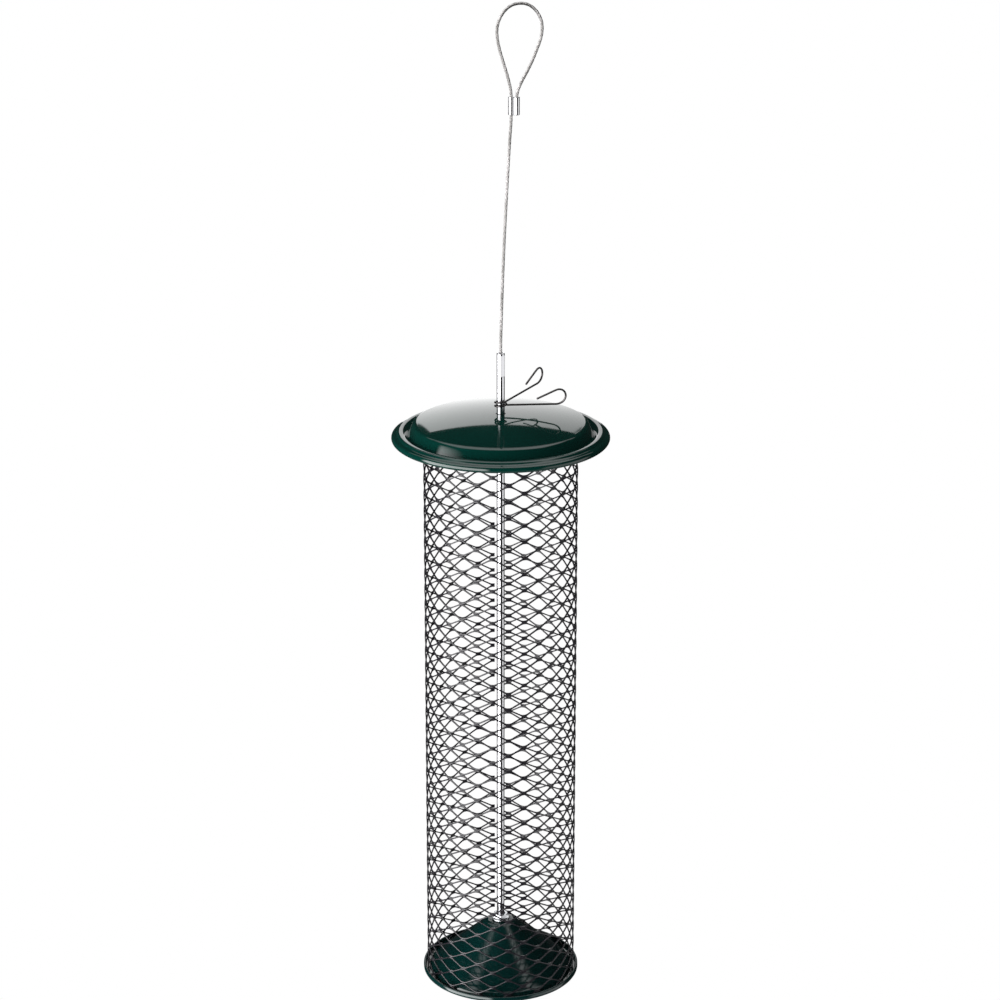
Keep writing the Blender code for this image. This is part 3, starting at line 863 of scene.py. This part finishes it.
@dataclass
class SpringClip:
    """The spring clip: one wire, coiled round the rod, with two arms that end in finger loops.

    Attributes:
        place: Where the feeder stands.
        radius: The wire's radius.
        coil_radius: The radius of the coil's centre line.
        coil_bottom: The height of the lowest turn's centre line above the rim plane.
        pitch: How far the coil climbs in one turn.
        rear_turn: The rear arm's direction, from the front arm, about the rod.
        front_rise: How far the front arm rises, as an angle.
        rear_rise: How far the rear arm rises.
    """

    place: Place
    radius: float = 0.5 * MM
    coil_radius: float = 2.8 * MM
    coil_bottom: float = 16.6 * MM
    pitch: float = 1.86 * MM
    rear_turn: float = math.radians(54)
    front_rise: float = math.radians(1.2)
    rear_rise: float = math.radians(6)

    ARM_SHAPE = (
        (0, 0), (9, 0), (18, 0), (25, 0), (28.6, 0.1), (31.1, 1.3), (32.4, 3.4), (32.3, 5.6), (31.0, 7.2),
        (29.1, 7.6), (27.2, 7.0), (22.6, 4.9), (18.0, 2.8),
    )  # fmt: skip

    def wind(self) -> float:
        """How far the coil turns from the rear arm to the front arm."""
        return TURN + math.pi + self.rear_turn

    def coil_point(self, turned: float) -> Vector:
        """A point on the coil, turned clockwise and down from the rear arm."""
        turn = self.rear_turn - math.pi / 2 - turned
        top = self.coil_bottom + self.pitch * self.wind() / TURN
        height = top - self.pitch * turned / TURN
        return self.place.at(self.coil_radius * math.cos(turn), self.coil_radius * math.sin(turn), height)

    def arm(self, turn: float, rise: float, start: Vector) -> list[Vector]:
        """One arm, out from the coil, round its finger loop and back.

        Args:
            turn: The arm's direction about the rod.
            rise: How far it rises, as an angle.
            start: Where it leaves the coil.

        Returns:
            The arm's points after the start.
        """
        level = Vector((math.cos(turn), math.sin(turn), 0))
        out = level * math.cos(rise) + Vector((0, 0, math.sin(rise)))
        up = Vector((0, 0, math.cos(rise))) - level * math.sin(rise)
        shape = [start + out * along * MM + up * height * MM for along, height in self.ARM_SHAPE]
        return smooth_line(shape, 0.6 * MM)[1:]

    def build(self, finishes: Finishes) -> None:
        """Bends the wire: the coil round the rod and its two arms."""
        steps = 110
        coil = [self.coil_point(self.wind() * i / steps) for i in range(steps + 1)]
        rear = self.arm(self.rear_turn, self.rear_rise, coil[0])
        front = self.arm(0.0, self.front_rise, coil[-1])
        clip = Bench.wire("spring_clip", rear[::-1] + coil + front, self.radius, 3, rounded=0.7)
        Bench.dress(clip, finishes.clip, "clip_steel", ["clip_front_arm", "clip_rear_arm"], None, 50)
        start = self.place.at(0, 0, 17.1 * MM)
        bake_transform(clip)


@dataclass
class PressedLid:
    """The pressed lid: a shallow dome, a steep wall, a valley, a bead and a rolled edge.

    Attributes:
        place: Where the feeder stands.
        hole: The radius of the hole for the rod.
        crease: The radius of the dome's edge.
        crease_height: The height of the dome's edge.
        top: The height of the dome's middle.
        valley: The radius of the valley.
        valley_height: The height of the valley.
        crown: The radius of the bead.
        crown_height: The height of the bead.
        ledge: The radius of the low step outside the bead.
        ledge_height: The height of that step.
        roll: The radius of the middle of the rolled edge.
        roll_height: The height of the middle of the rolled edge.
        roll_radius: How far the roll's face is from its middle.
        thickness: The sheet's thickness with its enamel.
    """

    place: Place
    hole: float = 2.5 * MM
    crease: float = 42.6 * MM
    crease_height: float = 8.5 * MM
    top: float = 13.0 * MM
    valley: float = 46.8 * MM
    valley_height: float = 2.7 * MM
    crown: float = 49.9 * MM
    crown_height: float = 4.3 * MM
    ledge: float = 52.7 * MM
    ledge_height: float = 2.85 * MM
    roll: float = 53.0 * MM
    roll_height: float = 1.0 * MM
    roll_radius: float = 1.7 * MM
    thickness: float = 0.8 * MM

    def outline(self) -> list[tuple[float, float]]:
        """The lid's upper face, from the hole out to the end of the roll."""
        rise = self.top - self.crease_height
        radius = (self.crease**2 + rise**2) / (2 * rise)
        centre = self.top - radius
        dome = []
        for i in range(29):
            out = self.hole + (self.crease - self.hole) * i / 28
            dome.append((out, centre + math.sqrt(radius**2 - out**2)))
        edge = arc((self.roll, self.roll_height), self.roll_radius, 75, -170, 20)
        route = [
            dome[-2],
            dome[-1],
            (self.crease + 0.75 * MM, self.crease_height - 0.27 * MM),
            (self.crease + 1.4 * MM, self.crease_height - 0.8 * MM),
            (self.crease + 1.9 * MM, self.crease_height - 1.6 * MM),
            (self.valley - 0.6 * MM, self.valley_height + 1.0 * MM),
            (self.valley - 0.15 * MM, self.valley_height + 0.15 * MM),
            (self.valley, self.valley_height),
            (self.valley + 0.2 * MM, self.valley_height + 0.1 * MM),
            (self.crown - 1.5 * MM, self.crown_height - 0.4 * MM),
            (self.crown - 0.8 * MM, self.crown_height - 0.05 * MM),
            (self.crown, self.crown_height),
            (self.crown + 0.9 * MM, self.crown_height - 0.04 * MM),
            (self.crown + 1.4 * MM, self.crown_height - 0.3 * MM),
            (self.ledge - 0.7 * MM, self.ledge_height + 0.4 * MM),
            (self.ledge - 0.4 * MM, self.ledge_height + 0.15 * MM),
            (self.ledge, self.ledge_height),
            edge[0],
        ]
        pressed = smooth_line([Vector((r, 0, z)) for r, z in route], 0.32 * MM)
        return sorted_outline(dome[:-2] + [(p.x, p.z) for p in pressed] + edge[1:])

    def build(self, finishes: Finishes) -> None:
        """Turns the sheet and gives it its thickness."""
        lid = Bench.sheet(Bench.lathe("lid_pressing", self.outline(), self.place, 144), self.thickness)
        Bench.dress(lid, finishes.lid, "lid_enamel", ["lid"], Body.COVER, 40)


@dataclass
class MeshTube:
    """The expanded-metal tube: level zigzag strands that run together at bonds, rolled up with a seam at the back.

    Attributes:
        place: Where the feeder stands.
        radius: The tube's outer radius.
        height: The tube's height.
        thickness: How deep the strands are.
        columns: How many diamonds lie round the tube.
        pitch: The height of a diamond.
        strand: A strand's height between bonds, measured upright.
        bond_strand: A strand's height where it runs into a bond.
        shoulder: How wide the sheared-off upper outer edge of a strand is.
        bond_gap: The distance between two strands' middles where they run together.
        bond: The length of a bond.
        seam: The place of the sheet's starting edge at the back, as an angle from the front towards +X.
        seam_gap: The open gap between the sheet's two edges, as an angle.
        first_bond: The height of a bond of the front column above the rim plane.
        front_column: The front column's angle.
    """

    place: Place
    radius: float = 38.9 * MM
    height: float = 301.9 * MM
    thickness: float = 0.6 * MM
    columns: int = 15
    pitch: float = 8.47 * MM
    strand: float = 0.70 * MM
    bond_strand: float = 0.95 * MM
    shoulder: float = 0.14 * MM
    bond_gap: float = 0.85 * MM
    bond: float = 2.6 * MM
    seam: float = math.radians(184.7)
    seam_gap: float = math.radians(1.8)
    first_bond: float = -12.3 * MM
    front_column: float = math.radians(5.8)
    top: float = 8.1 * MM

    def width(self) -> float:
        """The width of one diamond along the tube's girth."""
        return TURN * self.middle() / self.columns

    def middle(self) -> float:
        """The radius of the middle of the sheet."""
        return self.radius - self.thickness / 2

    def half_wave(self) -> bpy.types.Object:
        """Half a wave of one strand, from a low bond's middle up to a high bond's middle."""
        half = self.width() / 2
        rise = self.pitch / 2 - self.bond_gap
        Bench.clear()
        bpy.ops.mesh.primitive_cube_add(size=1, location=(self.bond / 8, 0, 0))
        bpy.context.active_object.scale = (self.bond / 4, self.thickness, self.bond_strand)
        strand = Bench.start("mesh_strand")
        Bench.pick(strand, lambda co: co.y < 0 < co.z)
        bpy.ops.mesh.bevel(offset=self.shoulder, segments=1, affect="EDGES")
        bpy.ops.object.mode_set(mode="OBJECT")
        bend = (half - self.bond) / 8
        thin = self.strand / self.bond_strand
        stations = [
            (self.bond / 4, 0.0, 1.0),
            (self.bond / 2, 0.05, 1.0),
            (self.bond / 2 + bend, 0.17, thin),
            (half - self.bond / 2 - bend, 0.83, 1.0),
            (half - self.bond / 2, 0.95, 1 / thin),
            (half - self.bond / 4, 1.0, 1.0),
            (half, 1.0, 1.0),
        ]
        front = stations[0][0]
        Bench.pick(strand, lambda co: co.x > front - 0.01 * MM)
        bpy.ops.mesh.select_mode(type="FACE")
        for (x0, z0, _), (x1, z1, size) in zip(stations, stations[1:]):
            step = (x1 - x0, 0, (z1 - z0) * rise)
            bpy.ops.mesh.extrude_region_move(TRANSFORM_OT_translate={"value": step})
            bpy.ops.transform.resize(value=(1, 1, size), center_override=(x1, 0, z1 * rise))
        bpy.ops.mesh.select_mode(type="VERT")
        bpy.ops.object.mode_set(mode="OBJECT")
        Bench.pick(strand, lambda co: co.x < 0.01 * MM or co.x > half - 0.01 * MM)
        bpy.ops.mesh.select_mode(type="FACE")
        bpy.ops.object.mode_set(mode="OBJECT")
        for face in strand.data.polygons:
            face.select = abs(face.normal.x) > 0.99
        bpy.ops.object.mode_set(mode="EDIT")
        bpy.ops.mesh.delete(type="ONLY_FACE")
        bpy.ops.object.mode_set(mode="OBJECT")
        return strand

    @staticmethod
    def repeat(obj: bpy.types.Object, count: int, step: tuple[float, float, float], merge: bool) -> None:
        """Repeats an object in a row.

        Args:
            obj: The object.
            count: How many there are in the row.
            step: The step from one to the next.
            merge: Whether ends that meet are merged.
        """
        Bench.take(obj)
        row = obj.modifiers.new("row", "ARRAY")
        row.count = count
        row.use_relative_offset = False
        row.use_constant_offset = True
        row.constant_offset_displace = step
        row.use_merge_vertices = merge
        row.merge_threshold = 0.02 * MM
        bpy.ops.object.modifier_apply(modifier=row.name)

    def flat_sheet(self) -> bpy.types.Object:
        """The mesh as a flat sheet, with x along the girth from the front and z above the rim plane."""
        strand = self.half_wave()
        mirror = strand.modifiers.new("falling_half", "MIRROR")
        mirror.use_axis = (True, False, False)
        mirror.merge_threshold = 0.01 * MM
        bpy.ops.object.modifier_apply(modifier=mirror.name)
        width = self.width()
        self.repeat(strand, self.columns + 3, (width, 0, 0), True)
        low = self.first_bond + self.bond_gap / 2
        bottom = self.top - self.height
        rows = math.ceil(self.height / self.pitch) + 2
        lowest = low - self.pitch * math.ceil((low - bottom) / self.pitch + 1)
        start = self.front_column * self.middle() - width * (self.columns / 2 + 1.5)
        start -= width * round((start + self.columns * width / 2 + width) / width)
        Bench.take(strand)
        bpy.ops.object.duplicate()
        upper = bpy.context.active_object
        for obj, x, z in (
            (strand, start, lowest),
            (upper, start + width / 2, lowest + self.pitch / 2),
        ):
            obj.location = (x, 0, z)
        for obj in (strand, upper):
            obj.select_set(True)
        bpy.context.view_layer.objects.active = strand
        bpy.ops.object.join()
        sheet = Bench.start("mesh_sheet")
        self.repeat(sheet, rows, (0, 0, self.pitch), False)
        return sheet

    def trim(self, sheet: bpy.types.Object) -> None:
        """Cuts the sheet along its four edges and closes the cut strands."""
        right = (self.seam - self.seam_gap) * self.middle()
        left = (self.seam - TURN) * self.middle()
        bottom = self.top - self.height
        Bench.take(sheet)
        bpy.ops.object.mode_set(mode="EDIT")
        for place, normal in (
            ((left, 0, 0), (-1, 0, 0)),
            ((right, 0, 0), (1, 0, 0)),
            ((0, 0, bottom), (0, 0, -1)),
            ((0, 0, self.top), (0, 0, 1)),
        ):
            bpy.ops.mesh.select_all(action="SELECT")
            bpy.ops.mesh.bisect(plane_co=place, plane_no=normal, clear_outer=True, use_fill=True, threshold=0.001 * MM)
        bpy.ops.object.mode_set(mode="OBJECT")

    def roll(self, sheet: bpy.types.Object) -> None:
        """Rolls the flat sheet up round the rod's axis."""
        Bench.take(sheet)
        reach = [vertex.co.x for vertex in sheet.data.vertices]
        bend = sheet.modifiers.new("rolled", "SIMPLE_DEFORM")
        bend.deform_method = "BEND"
        bend.deform_axis = "Z"
        bend.angle = (max(reach) - min(reach)) / self.middle()
        bpy.ops.object.modifier_apply(modifier=bend.name)
        bpy.ops.object.mode_set(mode="EDIT")
        bpy.ops.mesh.select_all(action="SELECT")
        bpy.ops.transform.translate(value=(self.place.axis, -self.middle(), self.place.rim))
        bpy.ops.mesh.normals_make_consistent(inside=False)
        bpy.ops.object.mode_set(mode="OBJECT")
        sheet.name = sheet.data.name = "mesh_sheet"

    def build(self, finishes: Finishes) -> None:
        """Expands, trims and rolls the mesh."""
        sheet = self.flat_sheet()
        self.trim(sheet)
        self.roll(sheet)
        panels = [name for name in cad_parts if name.startswith("mesh_panel_")]
        Bench.dress(sheet, finishes.mesh, "mesh_coat", sorted(panels), Body.TUBE, 100)


@dataclass
class PressedTray:
    """The pressed tray: a cone in its middle, a groove that the tube stands in, and a hemmed wall.

    Attributes:
        place: Where the feeder stands.
        floor: The height of the groove's floor.
        cone_height: The cone's top above that floor.
        cone_top: The radius of the cone's flat top.
        foot: The radius of the cone's foot.
        wall: The radius of the wall's inner face.
        wall_thickness: The thickness of the wall with its hem.
        rim: The height of the wall's top.
        hole: The radius of the hole for the rod.
        thickness: The sheet's thickness.
    """

    place: Place
    floor: float = -294.06 * MM
    cone_height: float = 26.6 * MM
    cone_top: float = 7.4 * MM
    foot: float = 37.5 * MM
    wall: float = 39.6 * MM
    wall_thickness: float = 1.3 * MM
    rim: float = -292.06 * MM
    hole: float = 2.3 * MM
    thickness: float = 0.7 * MM

    def outline(self) -> list[tuple[float, float]]:
        """The closed outline of the tray's sheet."""
        top = self.floor + self.cone_height
        outer = self.wall + self.wall_thickness
        round_in = 0.6 * MM
        hem = (self.wall + self.wall_thickness / 2, self.rim - self.wall_thickness / 2)
        cone = smooth_line(
            [
                Vector((self.cone_top - 1.2 * MM, 0, top)),
                Vector((self.cone_top - round_in, 0, top - 0.05 * MM)),
                Vector((self.cone_top + round_in, 0, top - round_in)),
                Vector((self.cone_top + 3 * MM, 0, top - 2.55 * MM)),
                Vector((self.foot - 4 * MM, 0, self.floor + 4.1 * MM)),
                Vector((self.foot - 1.4 * MM, 0, self.floor + 2.0 * MM)),
                Vector((self.foot - 0.5 * MM, 0, self.floor + 0.7 * MM)),
                Vector((self.foot + 0.1 * MM, 0, self.floor)),
            ],
            0.7 * MM,
        )
        points = [(self.hole, top), *[(p.x, p.z) for p in cone]]
        points += [(self.wall - 0.3 * MM, self.floor), (self.wall, self.floor + 0.3 * MM)]
        points += arc(hem, self.wall_thickness / 2, 180, 0, 10)
        points += [(outer, self.floor), *arc((outer - 0.6 * MM, self.floor), 0.6 * MM, -20, -90, 4)]
        under = [(p.x - 0.5 * MM, p.z - 0.5 * MM) for p in cone][::-1]
        points += [(self.foot - 0.3 * MM, self.floor - 0.6 * MM)]
        points += [point for point in under if point[0] < self.foot - 1.2 * MM and point[0] > self.cone_top]
        points += [(self.cone_top - 0.9 * MM, top - self.thickness), (self.hole, top - self.thickness), (self.hole, top)]
        return sorted_outline(points)

    def build(self, finishes: Finishes) -> None:
        """Turns the tray."""
        tray = Bench.lathe("tray_pressing", self.outline(), self.place, 144)
        Bench.dress(tray, finishes.tray, "tray_enamel", ["base_tray"], Body.FRAME, 40)


@dataclass
class Fasteners:
    """The washer and nut above the tray's cone and those below it.

    Attributes:
        place: Where the feeder stands.
        bore: The radius of the holes.
        washer_radius: The washers' radius.
        washer_thickness: The washers' thickness.
        across_flats: The nuts' size.
        nut_height: The nuts' height.
    """

    place: Place
    bore: float = 2.15 * MM
    washer_radius: float = 4.5 * MM
    washer_thickness: float = 0.8 * MM
    across_flats: float = 7.0 * MM
    nut_height: float = 2.2 * MM

    def build_washer(self, node: str, finishes: Finishes) -> None:
        """A stamped washer with a rounded upper edge.

        Args:
            node: The CAD washer it stands for.
            finishes: The feeder's finishes.
        """
        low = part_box(node)[0].z - self.place.rim
        high = low + self.washer_thickness
        edge = arc((self.washer_radius - 0.25 * MM, high - 0.25 * MM), 0.25 * MM, 0, 90, 4)
        outline = [
            (self.bore, low),
            (self.washer_radius - 0.08 * MM, low),
            (self.washer_radius, low + 0.08 * MM),
            *edge,
            (self.bore + 0.1 * MM, high),
            (self.bore, high - 0.1 * MM),
            (self.bore, low),
        ]
        washer = Bench.lathe(f"{node}_stamping", outline, self.place, 64)
        Bench.dress(washer, finishes.fastener, "fastener_steel", [node], Body.FRAME)

    def build_nut(self, node: str, finishes: Finishes) -> None:
        """A hexagon nut, its corners turned down to a cone and its bore countersunk.

        Args:
            node: The CAD nut it stands for.
            finishes: The feeder's finishes.
        """
        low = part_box(node)[0].z - self.place.rim
        middle = low + self.nut_height / 2
        across_corners = self.across_flats / math.cos(math.pi / 6)
        Bench.clear()
        bpy.ops.mesh.primitive_cylinder_add(
            vertices=6, radius=across_corners / 2, depth=self.nut_height, location=self.place.at(0, 0, middle)
        )
        nut = Bench.start(f"{node}_hex")
        flat, corner = self.across_flats / 2, across_corners / 2 + 0.5 * MM
        drop = (corner - flat) * math.tan(math.radians(30))
        for height, fall in ((low + self.nut_height, drop), (low, -drop)):
            beyond = math.copysign(1.0 * MM, fall)
            ring = [(flat, height), (corner, height - fall), (corner, height + beyond), (flat, height + beyond), (flat, height)]
            Bench.cut(nut, Bench.lathe("turning_tool", ring, self.place, 48))
        sink = self.bore + 0.35 * MM
        bore = [
            (0.0, low - 1 * MM), (sink + 1 * MM, low - 1 * MM), (self.bore, low + 0.35 * MM),
            (self.bore, low + self.nut_height - 0.35 * MM),
            (sink + 1 * MM, low + self.nut_height + 1 * MM), (0.0, low + self.nut_height + 1 * MM),
        ]  # fmt: skip
        Bench.cut(nut, Bench.lathe("bore_tool", bore, self.place, 48))
        Bench.dress(nut, finishes.fastener, "fastener_steel", [node], Body.FRAME, 20)

    def build(self, finishes: Finishes) -> None:
        """Builds both washers and both nuts."""
        for node in ("top_washer", "bottom_washer"):
            self.build_washer(node, finishes)
        for node in ("top_nut", "bottom_nut"):
            self.build_nut(node, finishes)


@dataclass
class SoftPanel:
    """One glowing white panel of the studio, plain white to the eye.

    Attributes:
        name: Its name.
        middle: The place of its middle.
        towards: The point that it faces.
        size: Its width and height.
        glow: How bright it is at its left and right edges, seen from the feeder.
        soft: The share of its width and height over which it fades out.
        flare: How much wider its top is than its foot, as a share.
    """

    name: str
    middle: tuple[float, float, float]
    towards: tuple[float, float, float]
    size: tuple[float, float]
    glow: tuple[float, float]
    soft: tuple[float, float]
    flare: float = 0.0

    def fade(self, tree: bpy.types.NodeTree, across: bpy.types.NodeSocket, soft: float) -> bpy.types.NodeSocket:
        """A value that is 1 inside the panel and falls to 0 at two edges.

        Args:
            tree: The material's nodes.
            across: The place between the two edges, from 0 to 1.
            soft: The share of the way over which it falls.

        Returns:
            The value.
        """
        away = tree.nodes.new("ShaderNodeMath")
        away.operation = "PINGPONG"
        away.inputs[1].default_value = 0.5
        level = tree.nodes.new("ShaderNodeMapRange")
        level.interpolation_type = "SMOOTHSTEP"
        level.inputs["From Max"].default_value = soft
        tree.links.new(across, away.inputs[0])
        tree.links.new(away.outputs["Value"], level.inputs["Value"])
        return level.outputs["Result"]

    def paper(self) -> bpy.types.Material:
        """The panel's glow: its own brightness for the feeder and plain white for the eye."""
        material = bpy.data.materials.new(f"{self.name}_paper")
        material.use_nodes = True
        tree = material.node_tree
        tree.nodes.remove(tree.nodes["Principled BSDF"])
        where = tree.nodes.new("ShaderNodeUVMap")
        parts = tree.nodes.new("ShaderNodeSeparateXYZ")
        bright = tree.nodes.new("ShaderNodeMapRange")
        bright.inputs["To Min"].default_value = self.glow[0]
        bright.inputs["To Max"].default_value = self.glow[1]
        tree.links.new(where.outputs["UV"], parts.inputs["Vector"])
        tree.links.new(parts.outputs["X"], bright.inputs["Value"])
        level = bright.outputs["Result"]
        for axis, soft in zip("XY", self.soft):
            both = tree.nodes.new("ShaderNodeMath")
            both.operation = "MULTIPLY"
            tree.links.new(level, both.inputs[0])
            tree.links.new(self.fade(tree, parts.outputs[axis], soft), both.inputs[1])
            level = both.outputs["Value"]
        rays = tree.nodes.new("ShaderNodeLightPath")
        seen = tree.nodes.new("ShaderNodeMix")
        seen.inputs["B"].default_value = 1.0
        light = tree.nodes.new("ShaderNodeEmission")
        tree.links.new(rays.outputs["Is Camera Ray"], seen.inputs["Factor"])
        tree.links.new(level, seen.inputs["A"])
        tree.links.new(seen.outputs["Result"], light.inputs["Strength"])
        tree.links.new(light.outputs["Emission"], tree.nodes["Material Output"].inputs["Surface"])
        return material

    def hang(self) -> bpy.types.Object:
        """Makes the panel and turns its face to the feeder."""
        Bench.clear()
        bpy.ops.mesh.primitive_plane_add(size=1)
        panel = bpy.context.active_object
        panel.name = panel.data.name = self.name
        bpy.ops.object.mode_set(mode="OBJECT")
        Bench.pick(panel, lambda co: co.y > 0)
        bpy.ops.transform.resize(value=(1 + self.flare, 1, 1))
        bpy.ops.object.mode_set(mode="OBJECT")
        panel.scale = (*self.size, 1)
        panel.location = self.middle
        panel.rotation_euler = (Vector(self.towards) - Vector(self.middle)).to_track_quat("Z", "Y").to_euler()
        panel.data.materials.append(self.paper())
        return panel


@dataclass
class Studio:
    """The pale floor, the glowing panels and the camera.

    Attributes:
        place: Where the feeder stands.
        camera_at: The camera's place from the rod's axis and the world's origin.
        camera_tilt: How far the camera is raised from looking straight down, in degrees.
        lens: The camera's focal length in millimetres.
        floor_drop: How far the floor lies below the world's origin.
        floor_radius: The floor's radius.
    """

    place: Place
    camera_at: tuple[float, float, float] = (-0.00035, -1.337, 0.2100)
    camera_tilt: float = 71.07
    lens: float = 101.05
    floor_drop: float = 1.7
    floor_radius: float = 2.0

    def set_camera(self) -> None:
        """Adds the camera and makes it the scene's."""
        camera = bpy.data.objects.new("camera", bpy.data.cameras.new("camera"))
        bpy.context.scene.collection.objects.link(camera)
        x, y, z = self.camera_at
        camera.location = (self.place.axis + x, y, z)
        camera.rotation_euler = (math.radians(self.camera_tilt), 0, 0)
        camera.data.lens = self.lens
        camera.data.sensor_width = 36
        camera.data.clip_end = 60
        bpy.context.scene.camera = camera

    def panels(self) -> list[SoftPanel]:
        """The studio's panels: a backdrop, two overhead, a key at the left and a fill at the right."""
        low = (self.place.axis, 0.0, -0.83)
        return [
            SoftPanel("backdrop", (0.0, 2.56, 0.178), (0.0, 0.0, 0.178), (0.704, 1.824), (1.95, 1.45), (0.01, 0.005), 0.42),
            SoftPanel("overhead", (0.0, 0.48, 1.97), (0.0, 0.48, 0.0), (4.16, 2.4), (2.1, 1.8), (0.2, 0.1)),
            SoftPanel("ceiling_edge", (0.0, 2.03, 1.97), (0.0, 2.03, 0.0), (4.8, 0.8), (0.9, 0.75), (0.12, 0.06)),
            SoftPanel("key_left", (-1.97, -1.65, -0.862), low, (4.32, 4.64), (6.0, 9.0), (0.14, 0.12)),
            SoftPanel("fill_right", (2.4, -0.72, -1.07), low, (3.36, 3.2), (1.3, 1.1), (0.2, 0.2)),
        ]

    def lay_floor(self) -> bpy.types.Object:
        """The pale round floor under the feeder."""
        Bench.clear()
        bpy.ops.mesh.primitive_circle_add(
            vertices=64, radius=self.floor_radius, fill_type="NGON", location=(self.place.axis, 0, -self.floor_drop)
        )
        floor = Bench.start("studio_floor")
        floor.data.materials.append(SoftPanel("floor", (0, 0, 0), (0, 0, 1), (1, 1), (0.3, 0.3), (0.01, 0.01)).paper())
        return floor

    def light_room(self) -> None:
        """A dim room for the feeder, plain white to the eye."""
        world = bpy.data.worlds.new("studio_room")
        bpy.context.scene.world = world
        world.use_nodes = True
        tree = world.node_tree
        rays = tree.nodes.new("ShaderNodeLightPath")
        level = tree.nodes.new("ShaderNodeMapRange")
        level.inputs["To Min"].default_value = 0.02
        level.inputs["To Max"].default_value = 1.0
        tree.links.new(rays.outputs["Is Camera Ray"], level.inputs["Value"])
        background = tree.nodes["Background"]
        background.inputs["Color"].default_value = (1, 1, 1, 1)
        tree.links.new(level.outputs["Result"], background.inputs["Strength"])
        bpy.context.scene.view_settings.view_transform = "Standard"

    def build(self) -> None:
        """Sets up the camera, the floor, the panels and the room."""
        self.set_camera()
        self.lay_floor()
        [panel.hang() for panel in self.panels()]
        self.light_room()
        log.info("studio: camera, floor and %d panels are set", len(self.panels()))


def main() -> None:
    """Builds the studio and every piece of the feeder."""
    logging.basicConfig(level=logging.INFO, format="%(name)s: %(message)s")
    place = Place.from_cad()
    finishes = Finishes(EffectGroups())
    Studio(place).build()
    for assembly in (
        WireRope(place),
        CentreRod(place),
        SpringClip(place),
        PressedLid(place),
        MeshTube(place),
        PressedTray(place),
        Fasteners(place),
    ):
        assembly.build(finishes)
    Bench.clear()


if __name__ == "__main__":
    main()
